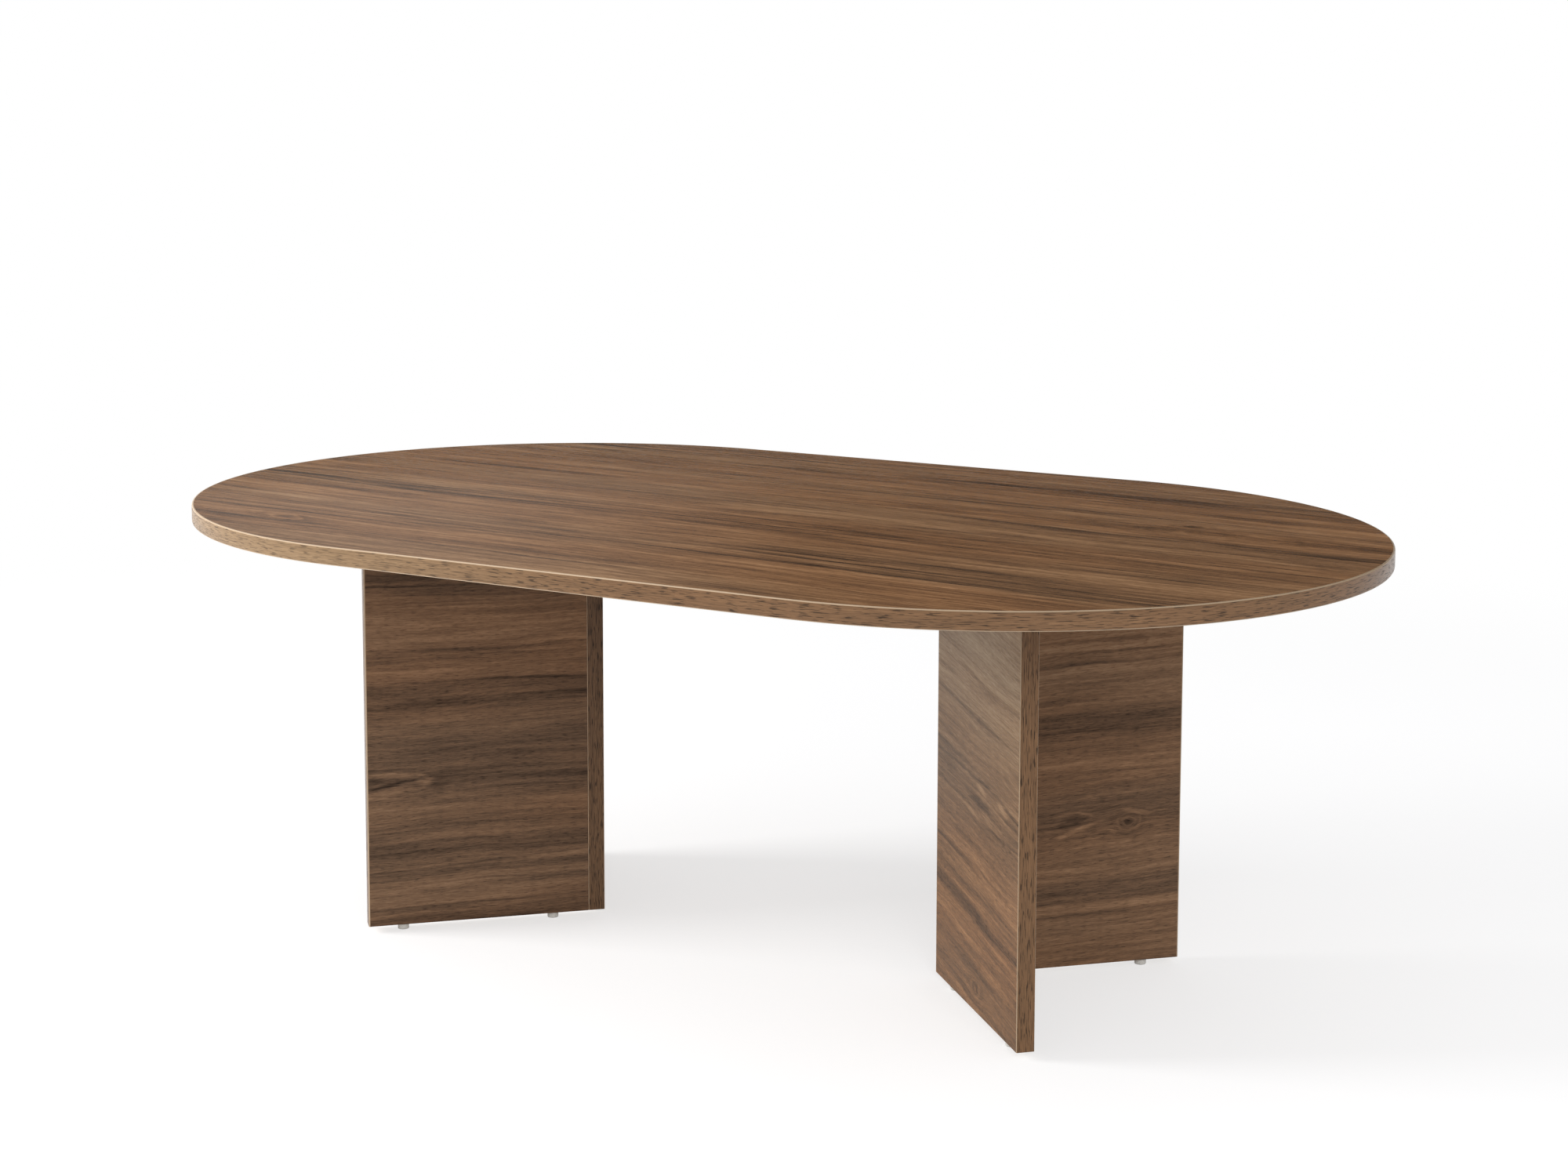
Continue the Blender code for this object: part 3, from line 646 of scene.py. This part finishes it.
panels = {
    "left_leg_through_panel": {
        "seed": 23.7,
        "slope": 0.05,
        "lift": 0.06,
        "bands": [[
            (0.000, 0.38), (0.030, 0.42), (0.060, 0.45), (0.090, 0.44), (0.100, 0.34), (0.112, 0.33),
            (0.122, 0.44), (0.160, 0.42), (0.200, 0.38), (0.230, 0.42), (0.255, 0.34), (0.275, 0.33),
            (0.285, 0.42), (0.330, 0.44), (0.345, 0.37), (0.360, 0.43), (0.450, 0.42),
        ]],
        "knots": [],
        "strokes": [
            (0.120, 0.182, 0.030, 0.0036, 0.15, 0.12),
            (0.118, 0.174, 0.024, 0.0030, 0.15, -0.12),
            (0.140, 0.260, 0.120, 0.0022, -0.04, -0.13),
        ],
    },
    "left_leg_butt_panel": {
        "seed": 41.6,
        "slope": 0.02,
        "lift": 0.10,
        # the stops above 0.37 run darker: partly the print, partly painted shade under the top
        "bands": [[
            (0.000, 0.31), (0.012, 0.32), (0.024, 0.40), (0.042, 0.46), (0.060, 0.44), (0.065, 0.31),
            (0.069, 0.32), (0.073, 0.49), (0.080, 0.45), (0.085, 0.27), (0.096, 0.28), (0.103, 0.40),
            (0.117, 0.45), (0.132, 0.42), (0.150, 0.33), (0.182, 0.32), (0.210, 0.34), (0.226, 0.43),
            (0.240, 0.41), (0.248, 0.31), (0.274, 0.27), (0.280, 0.43), (0.302, 0.50), (0.340, 0.53),
            (0.355, 0.47), (0.372, 0.37), (0.402, 0.36), (0.450, 0.36),
        ]],
        "knots": [],
        "strokes": [
            (0.208, 0.171, 0.036, 0.0036, 0.05, 0.25),
            (0.178, 0.163, 0.010, 0.0060, 0.0, 0.22),
            (0.216, 0.153, 0.032, 0.0046, -0.13, 0.18),
            (0.212, 0.161, 0.036, 0.0022, -0.17, -0.22),
            (0.163, 0.158, 0.014, 0.0110, 0.0, -0.07),
            (0.200, 0.178, 0.060, 0.0030, 0.0, -0.06),
            (0.232, 0.166, 0.008, 0.0030, 0.0, -0.10),
            (0.225, 0.146, 0.030, 0.0014, 0.02, 0.12),
            (0.120, 0.3880, 0.160, 0.0020, 0.01, -0.12),
            (0.140, 0.3760, 0.150, 0.0018, 0.01, -0.13),
            (0.110, 0.3650, 0.140, 0.0016, 0.02, -0.11),
            (0.130, 0.3540, 0.150, 0.0018, 0.01, -0.12),
            (0.110, 0.3050, 0.130, 0.0014, 0.01, -0.07),
            (0.120, 0.2715, 0.160, 0.0018, 0.015, -0.15),
            (0.130, 0.0705, 0.150, 0.0014, -0.05, -0.13),
        ],
    },
    "right_leg_through_panel": {
        "seed": 59.5,
        "slope": 0.08,
        "lift": 0.12,
        # the upper stops run lighter: painted light on the upper part of the panel
        "bands": [[
            (0.000, 0.37), (0.018, 0.42), (0.036, 0.37), (0.050, 0.41), (0.070, 0.45), (0.096, 0.43),
            (0.104, 0.31), (0.114, 0.30), (0.122, 0.41), (0.145, 0.44), (0.180, 0.44), (0.205, 0.41),
            (0.225, 0.41), (0.245, 0.46), (0.268, 0.50), (0.300, 0.57), (0.345, 0.66), (0.450, 0.72),
        ]],
        "knots": [
            {  # small figure near the floor
                "at": (0.122, 0.030), "size": (0.014, 0.008), "lean": 0.0, "pull": 0.9,
                "rings": [(0.0, 0.05), (0.5, -0.08), (0.9, 0.05), (1.3, -0.05), (1.9, 0.0)],
            },
        ],
        "strokes": [
            (0.050, 0.2430, 0.085, 0.0022, -0.01, -0.15),
            (0.140, 0.2395, 0.040, 0.0024, -0.03, -0.17),
            (0.186, 0.2350, 0.032, 0.0026, -0.10, -0.17),
            (0.222, 0.2280, 0.024, 0.0028, -0.16, -0.17),
            (0.136, 0.2305, 0.015, 0.0044, -0.25, 0.20),
            (0.195, 0.2270, 0.016, 0.0042, -0.25, 0.20),
            (0.128, 0.2170, 0.030, 0.0050, -0.05, -0.13),
            (0.214, 0.2200, 0.022, 0.0040, -0.10, -0.11),
            (0.110, 0.2030, 0.022, 0.0028, -0.15, 0.13),
            (0.165, 0.2080, 0.040, 0.0018, -0.10, 0.08),
            (0.190, 0.1985, 0.060, 0.0020, -0.03, -0.15),
            (0.060, 0.2120, 0.060, 0.0020, -0.08, -0.09),
            (0.170, 0.3250, 0.085, 0.0045, -0.08, -0.09),
            (0.165, 0.2970, 0.080, 0.0035, -0.02, -0.09),
            (0.120, 0.1500, 0.130, 0.0018, -0.05, -0.10),
            (0.130, 0.1420, 0.120, 0.0016, -0.05, 0.07),
            (0.130, 0.1240, 0.130, 0.0022, -0.06, -0.11),
            (0.120, 0.1160, 0.130, 0.0026, -0.06, 0.10),
            (0.140, 0.0960, 0.120, 0.0020, -0.06, -0.10),
            (0.110, 0.0740, 0.110, 0.0050, -0.06, 0.07),
            (0.130, 0.0480, 0.120, 0.0030, -0.06, -0.09),
        ],
    },
    "right_leg_butt_panel": {
        "seed": 77.4,
        "slope": -0.04,
        "lift": 0.11,
        # the upper stops run lighter: painted light on the upper part, against the shade under the top
        "bands": [[
            (0.000, 0.41), (0.025, 0.45), (0.050, 0.45), (0.058, 0.37), (0.062, 0.54), (0.069, 0.50),
            (0.072, 0.31), (0.084, 0.31), (0.095, 0.43), (0.112, 0.47), (0.135, 0.40), (0.146, 0.35),
            (0.170, 0.34), (0.185, 0.40), (0.215, 0.45), (0.238, 0.43), (0.246, 0.36), (0.263, 0.36),
            (0.272, 0.47), (0.290, 0.56), (0.305, 0.60), (0.323, 0.57), (0.350, 0.61), (0.450, 0.63),
        ]],
        "knots": [
            {  # round eye
                "at": (0.182, 0.155), "size": (0.012, 0.009), "lean": 0.15, "pull": 0.9,
                "rings": [
                    (0.0, -0.28), (0.3, -0.17), (0.55, 0.01), (0.8, -0.07),
                    (1.05, 0.02), (1.3, -0.04), (1.9, 0.0),
                ],
            },
        ],
        "strokes": [
            (0.120, 0.158, 0.019, 0.0070, 0.30, -0.13),
            (0.116, 0.167, 0.020, 0.0020, 0.15, 0.12),
            (0.127, 0.149, 0.028, 0.0028, 0.30, 0.20),
            (0.136, 0.166, 0.012, 0.0020, -0.25, 0.18),
            (0.190, 0.165, 0.017, 0.0032, -0.20, 0.18),
            (0.166, 0.145, 0.007, 0.0016, -0.35, 0.16),
            (0.188, 0.136, 0.010, 0.0050, 0.6, -0.05),
            (0.160, 0.3460, 0.110, 0.0024, 0.03, -0.14),
            (0.150, 0.3350, 0.110, 0.0018, 0.03, -0.13),
            (0.170, 0.3230, 0.110, 0.0020, 0.03, -0.13),
            (0.150, 0.2520, 0.120, 0.0020, 0.02, -0.13),
            (0.160, 0.2100, 0.100, 0.0014, 0.02, -0.08),
        ],
    },
}
halfPanel = legs["panelThickness"] / 2
buttStart = legs["panelThickness"] + legs["seam"]


def legFrame(side):
    shift = Matrix.Translation((legs["cornerOffset"] * (1 if side == "right" else -1), 0, 0))
    return shift @ Matrix.Rotation(math.radians(legs["turn"][side]), 4, "Z")


def panelLook(name, side, kind):
    place = legFrame(side)
    turn = place.to_3x3()
    through = kind == "through"
    look = {**panelFinish, **panelKinds[kind], **panels[name]}
    look["start"] = tuple(place @ Vector((0 if through else buttStart, 0, 0)))
    look["alongGrain"] = tuple(turn @ Vector((0, -1, 0) if through else (1, 0, 0)))
    look["faceNormal"] = tuple(turn @ Vector((1, 0, 0) if through else (0, 1, 0)))
    return look


def makeStrip(name, side, corner, outward, across, offset):
    place = legFrame(side)
    turn = place.to_3x3()
    stations = []
    for i in range(legs["stripSteps"] + 1):
        z = legs["low"] + (legs["high"] - legs["low"]) * i / legs["stripSteps"]
        stations.append((place @ (corner + Vector((0, 0, z))), turn @ outward, turn @ across, z + offset))
    thickness = legs["band"] - legs["glueLine"]
    profile = bandProfile(thickness, legs["panelThickness"], legs["bandRound"], legs["roundSteps"])
    return sweep(name, stations, profile, False)


stripFace = printedFace(legs, legs["panelThickness"])
core = legs["panelWidth"] - legs["band"]
strips = {  # corner, outward and across in the leg's own frame
    "through_band_tip": (Vector((halfPanel, -core, 0)), Vector((0, -1, 0)), Vector((1, 0, 0))),
    "through_band_corner": (Vector((halfPanel, -legs["band"], 0)), Vector((0, 1, 0)), Vector((1, 0, 0))),
    "butt_band_tip": (Vector((buttStart + core, -halfPanel, 0)), Vector((1, 0, 0)), Vector((0, 1, 0))),
}
offset = 0.0
for side, bandLook in legBands.items():
    for kind in panelKinds:
        name = f"{side}_leg_{kind}_panel"
        material = boardMaterial("walnut " + name.replace("_", " "), panelLook(name, side, kind))
        setFinish(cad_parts[name], material)
    stripFinish = bandMaterial(f"walnut {side} leg band", stripFace, bandLook)
    for kind, (corner, outward, across) in strips.items():
        offset += legs["nextStrip"]
        strip = makeStrip(f"{side}_{kind}_strip", side, corner, outward, across, offset)
        finishPiece(strip, stripFinish, "walnut_band", f"{side}_leg_{kind}")
print("leg panels and bands made")


# turned hardware, by Geometry Nodes on placed points
turned = {
    "sizes": ("Diameter", "Height", "Cross Length", "Cross Width", "Cross Depth"),
    "corners": 40,
    "weld": 0.0001,
    "sharpAngle": 32,
}


def turnedTree(name, profile, material, cross):
    tree = bpy.data.node_groups.new(name, "GeometryNodeTree")
    sockets = {}
    tree.interface.new_socket("Points", in_out="INPUT", socket_type="NodeSocketGeometry")
    for label in turned["sizes"]:
        item = tree.interface.new_socket(label, in_out="INPUT", socket_type="NodeSocketFloat")
        sockets[label] = item.identifier
    tree.interface.new_socket("Geometry", in_out="OUTPUT", socket_type="NodeSocketGeometry")
    given = tree.nodes.new("NodeGroupInput").outputs
    result = tree.nodes.new("NodeGroupOutput").inputs

    # a disc drawn up through the profile, one ring at a time
    inputs = {"Vertices": turned["corners"], "Radius": profile[0][0]}
    disc = addNode(tree, "GeometryNodeMeshCircle", inputs, fill_type="NGON").outputs[0]
    body = disc
    face = True
    for (radius, level), (nextRadius, nextLevel) in zip(profile, profile[1:]):
        inputs = {"Mesh": body, "Selection": face, "Offset Scale": nextLevel - level, "Individual": False}
        step = addNode(tree, "GeometryNodeExtrudeMesh", inputs, mode="FACES")
        face = step.outputs["Top"]
        inputs = {"Geometry": step.outputs["Mesh"], "Selection": face, "Scale": nextRadius / radius}
        body = addNode(tree, "GeometryNodeScaleElements", inputs, domain="FACE").outputs[0]
    base = addNode(tree, "GeometryNodeFlipFaces", {"Mesh": disc}).outputs[0]
    whole = tree.nodes.new("GeometryNodeJoinGeometry")
    tree.links.new(body, whole.inputs[0])
    tree.links.new(base, whole.inputs[0])
    inputs = {"Geometry": whole.outputs[0], "Distance": turned["weld"]}
    body = addNode(tree, "GeometryNodeMergeByDistance", inputs).outputs[0]
    half = calc(tree, "MULTIPLY", given["Diameter"], 0.5)
    size = addNode(tree, "ShaderNodeCombineXYZ", {0: half, 1: half, 2: given["Height"]}).outputs[0]
    body = addNode(tree, "GeometryNodeTransform", {"Geometry": body, "Scale": size}).outputs[0]

    if cross:
        lift = addNode(tree, "ShaderNodeCombineXYZ", {2: given["Height"]}).outputs[0]
        deep = calc(tree, "MULTIPLY", given["Cross Depth"], 2.0)
        for first, second in (("Cross Length", "Cross Width"), ("Cross Width", "Cross Length")):
            inputs = {0: given[first], 1: given[second], 2: deep}
            size = addNode(tree, "ShaderNodeCombineXYZ", inputs).outputs[0]
            blade = addNode(tree, "GeometryNodeMeshCube", {"Size": size}).outputs[0]
            inputs = {"Geometry": blade, "Translation": lift}
            cutter = addNode(tree, "GeometryNodeTransform", inputs).outputs[0]
            options = {"operation": "DIFFERENCE", "solver": "EXACT"}
            inputs = {"Mesh 1": body, "Mesh 2": cutter}
            body = addNode(tree, "GeometryNodeMeshBoolean", inputs, **options).outputs[0]

    inputs = {"Name": "facing"}
    facing = addNode(tree, "GeometryNodeInputNamedAttribute", inputs, data_type="FLOAT_VECTOR").outputs[0]
    turn = addNode(tree, "FunctionNodeAlignRotationToVector", {"Vector": facing}, axis="Z").outputs[0]
    inputs = {"Points": given["Points"], "Instance": body, "Rotation": turn}
    copies = addNode(tree, "GeometryNodeInstanceOnPoints", inputs).outputs[0]
    solid = addNode(tree, "GeometryNodeRealizeInstances", {"Geometry": copies}).outputs[0]
    solid = addNode(tree, "GeometryNodeSetMaterial", {"Geometry": solid, "Material": material}).outputs[0]
    tree.links.new(solid, result[0])
    return tree, sockets


def placeTurned(name, tree, sockets, settings, places):
    mesh = bpy.data.meshes.new(name + "_points")
    mesh.from_pydata([tuple(point) for point, facing in places], [], [])
    attribute = mesh.attributes.new("facing", "FLOAT_VECTOR", "POINT")
    for i, (point, facing) in enumerate(places):
        attribute.data[i].vector = facing
    carrier = bpy.data.objects.new(name + "_points", mesh)
    scene.collection.objects.link(carrier)
    modifier = carrier.modifiers.new("turned", "NODES")
    modifier.node_group = tree
    for label, socket in sockets.items():
        if label in settings:
            modifier[socket] = settings[label]
    graph = bpy.context.evaluated_depsgraph_get()
    solid = bpy.data.meshes.new_from_object(carrier.evaluated_get(graph))
    bpy.data.objects.remove(carrier)
    solid.name = name
    return showMesh(name, solid, turned["sharpAngle"])


# plastic, metal and plain wood: two tones in a fine cloud
cloudFrom = (0.3, 0.7)
finishes = {
    "pale glide plastic": {
        "tones": ((0.5504, 0.5375, 0.5031), (0.64, 0.625, 0.585)),
        "scale": 900.0, "detail": 3.0, "roughness": 0.45, "uneven": 0.2,
        "metallic": 0.0, "bump": (0.15, 0.0001),
    },
    "cast zinc": {
        "tones": ((0.392, 0.392, 0.378), (0.56, 0.56, 0.54)),
        "scale": 700.0, "detail": 4.0, "roughness": 0.42, "uneven": 0.3,
        "metallic": 1.0, "bump": (0.2, 0.0001),
    },
    "drawn steel": {
        "tones": ((0.364, 0.364, 0.371), (0.52, 0.52, 0.53)),
        "scale": 900.0, "detail": 4.0, "roughness": 0.35, "uneven": 0.3,
        "metallic": 1.0, "bump": (0.2, 0.0001),
    },
    "beech dowel": {
        "tones": ((0.42, 0.27, 0.15), (0.60, 0.43, 0.27)),
        "scale": 650.0, "detail": 4.0, "roughness": 0.6, "uneven": 0.2,
        "metallic": 0.0, "bump": (0.2, 0.0002),
    },
}


def cloudMaterial(name):
    finish = finishes[name]
    material, tree, shader = newMaterial(name)
    place = addNode(tree, "ShaderNodeTexCoord").outputs["Object"]
    inputs = {"Vector": place, "Scale": finish["scale"], "Detail": finish["detail"]}
    cloud = addNode(tree, "ShaderNodeTexNoise", inputs).outputs[0]
    feed(tree, shader.inputs["Base Color"], ramp(tree, cloud, zip(cloudFrom, finish["tones"])))
    roughness = addUp(tree, swing(tree, cloud, finish["uneven"]), finish["roughness"])
    feed(tree, shader.inputs["Roughness"], roughness)
    shader.inputs["Metallic"].default_value = finish["metallic"]
    bumped(tree, shader, cloud, *finish["bump"])
    return material


glide = {
    "Diameter": 0.012,
    "Height": 0.0065,
    "profile": [(0.88, 0.0), (0.94, 0.02), (0.98, 0.06), (1.0, 0.12), (1.0, 0.94), (0.98, 1.0)],
    "inset": 0.038,
}
cam = {
    "Diameter": 0.015,
    "Height": 0.0135,
    "Cross Length": 0.008,
    "Cross Width": 0.0016,
    "Cross Depth": 0.002,
    "profile": [
        (0.96, 0.0), (1.0, 0.02), (1.0, 0.95), (0.97, 0.985), (0.93, 1.0), (0.84, 1.0), (0.81, 0.975),
    ],
    "inset": 0.060,
    "cornerInset": 0.090,
    "setback": 0.034,
}
upward = Vector((0, 0, 1))
inward = {"through": Vector((1, 0, 0)), "butt": Vector((0, -1, 0))}  # off each panel's inside face
topLevel = legs["high"] - cam["setback"]
back = legs["panelThickness"] - cam["Height"]
cornerLevels = {"upper": legs["high"] - cam["cornerInset"], "lower": legs["low"] + cam["cornerInset"]}
glidePlaces = []
camPlaces = []
glideNodes = []
camNodes = []
for side in legBands:
    place = legFrame(side)
    turn = place.to_3x3()
    for end, along in (("inner", glide["inset"]), ("outer", legs["panelWidth"] - glide["inset"])):
        glidePlaces.append((place @ Vector((halfPanel, -along, 0)), upward))
        glidePlaces.append((place @ Vector((buttStart + along, -halfPanel, 0)), upward))
        glideNodes += [f"{side}_through_foot_{end}", f"{side}_butt_foot_{end}"]
    for end, along in (("inner", cam["inset"]), ("outer", legs["panelWidth"] - cam["inset"])):
        camPlaces.append((place @ Vector((back, -along, topLevel)), turn @ inward["through"]))
        camPlaces.append((place @ Vector((buttStart + along, -back, topLevel)), turn @ inward["butt"]))
        camNodes += [f"{side}_through_cam_{end}", f"{side}_butt_cam_{end}"]
    for end, level in cornerLevels.items():
        camPlaces.append((place @ Vector((buttStart + cam["setback"], -back, level)), turn @ inward["butt"]))
        camNodes.append(f"{side}_corner_cam_{end}")

paleFinish = cloudMaterial("pale glide plastic")
glideTree, glideSockets = turnedTree("glide turning", glide["profile"], paleFinish, False)
glides = placeTurned("floor_glides", glideTree, glideSockets, glide, glidePlaces)
finishPiece(glides, paleFinish, "pale_plastic", *glideNodes)
zincFinish = cloudMaterial("cast zinc")
camTree, camSockets = turnedTree("cam turning", cam["profile"], zincFinish, True)
cams = placeTurned("cam_locks", camTree, camSockets, cam, camPlaces)
finishPiece(cams, zincFinish, "zinc", *camNodes)
print("glides", len(glidePlaces), "and cams", len(camPlaces), "placed")


# hidden fixings keep their solids and get their own finish
steelFinish = cloudMaterial("drawn steel")
fixings = {"bolt": steelFinish, "nail": steelFinish, "dowel": cloudMaterial("beech dowel")}
for name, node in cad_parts.items():
    for word, finish in fixings.items():
        if word in name:
            setFinish(node, finish)
print("hidden fixings finished")


# floor, light and camera
studio = {
    "floorReach": 14.0,
    "floorColour": (0.82, 0.82, 0.82, 1),
    "floorSeen": (0.46, 0.46, 0.46, 1),
    "floorWhite": 0.60,
    "whiteFrom": (1.3, 2.6),  # metres from the middle of the table
    "white": (1, 1, 1, 1),
    "fill": (0.64, 0.64, 0.65, 1),
    "ceiling": (0.03, 0.03, 0.03, 1),
    "ceilingFrom": (0.1124, 0.1195),  # sine of the height above the horizon
    "brightSide": (-0.866, 0.5, 0.0),
    "brightFrom": (0.84, 0.93),
    "brightAbove": (0.1416, 0.1546),
    "brightCeiling": (0.34, 0.34, 0.34, 1),
    "lamps": {
        "key": {"at": (-2.60, -1.50, 1.25), "aim": (0.0, 0.0, 0.30), "size": (1.2, 1.2), "watts": 90.0},
        "front": {"at": (2.20, -2.40, 1.60), "aim": (0.1, 0.0, 0.25), "size": (1.8, 1.4), "watts": 44.0},
    },
}


def seenRays(tree):
    path = addNode(tree, "ShaderNodeLightPath").outputs
    total = addUp(tree, path["Is Camera Ray"], path["Is Glossy Ray"], path["Is Transmission Ray"])
    return calc(tree, "MINIMUM", total, 1.0)


def makeFloor():
    reach = studio["floorReach"]
    corners = [(-reach, -reach, 0), (reach, -reach, 0), (reach, reach, 0), (-reach, reach, 0)]
    mesh = bpy.data.meshes.new("floor")
    mesh.from_pydata(corners, [], [(0, 1, 2, 3)])
    material, tree, shader = newMaterial("pale floor")
    tree.nodes.remove(shader)
    plain = addNode(tree, "ShaderNodeBsdfDiffuse", {"Color": studio["floorColour"]}).outputs[0]
    shadow = addNode(tree, "ShaderNodeBsdfDiffuse", {"Color": studio["floorSeen"]}).outputs[0]
    glow = addNode(tree, "ShaderNodeEmission", {"Strength": studio["floorWhite"]}).outputs[0]
    near = addNode(tree, "ShaderNodeAddShader", {0: shadow, 1: glow}).outputs[0]
    white = addNode(tree, "ShaderNodeEmission", {"Color": studio["white"], "Strength": 1.0}).outputs[0]
    place = addNode(tree, "ShaderNodeTexCoord").outputs["Object"]
    away = addNode(tree, "ShaderNodeVectorMath", {0: place}, operation="LENGTH").outputs["Value"]
    far = rise(tree, away, *studio["whiteFrom"])
    seen = addNode(tree, "ShaderNodeMixShader", {0: far, 1: near, 2: white}).outputs[0]
    shown = addNode(tree, "ShaderNodeMixShader", {0: seenRays(tree), 1: plain, 2: seen}).outputs[0]
    tree.links.new(shown, tree.nodes["Material Output"].inputs["Surface"])
    mesh.materials.append(material)
    floor = bpy.data.objects.new("floor", mesh)
    scene.collection.objects.link(floor)


def makeWorld():
    world = bpy.data.worlds.new("studio")
    world.use_nodes = True
    scene.world = world
    tree = world.node_tree
    backdrop = tree.nodes["Background"]
    direction = addNode(tree, "ShaderNodeTexCoord").outputs["Generated"]
    height = addNode(tree, "ShaderNodeSeparateXYZ", {0: direction}).outputs[2]
    above = rise(tree, height, *studio["ceilingFrom"])
    side = rise(tree, dotWith(tree, direction, studio["brightSide"]), *studio["brightFrom"])
    bright = calc(tree, "MULTIPLY", side, rise(tree, height, *studio["brightAbove"]))
    ceiling = mixColour(tree, bright, studio["ceiling"], studio["brightCeiling"])
    seen = mixColour(tree, above, studio["white"], ceiling)
    colour = mixColour(tree, seenRays(tree), studio["fill"], seen)
    feed(tree, backdrop.inputs["Color"], colour)


def addLamp(name, lamp):
    light = bpy.data.lights.new(name, "AREA")
    light.shape = "RECTANGLE"
    light.size, light.size_y = lamp["size"]
    light.energy = lamp["watts"]
    holder = bpy.data.objects.new(name, light)
    holder.location = lamp["at"]
    aim = Vector(lamp["aim"]) - Vector(lamp["at"])
    holder.rotation_euler = aim.to_track_quat("-Z", "Y").to_euler()
    holder.visible_glossy = False  # no lamp mirrored in the gloss of the top
    scene.collection.objects.link(holder)


makeFloor()
makeWorld()
for name, lamp in studio["lamps"].items():
    addLamp(name, lamp)

view = {
    "at": (1.39910, -2.39558, 0.91698),
    "pitch": 0.11404,
    "heading": 0.53701,
    "lens": 61.8848,
    "sensor": 36.0,
    "shift": (0.02658, -0.13),
}
camera = bpy.data.cameras.new("camera")
camera.sensor_width = view["sensor"]
camera.lens = view["lens"]
camera.shift_x, camera.shift_y = view["shift"]
viewer = bpy.data.objects.new("camera", camera)
viewer.location = view["at"]
viewer.rotation_euler = (math.pi / 2 - view["pitch"], 0, view["heading"])
scene.collection.objects.link(viewer)
scene.camera = viewer
print("studio set")
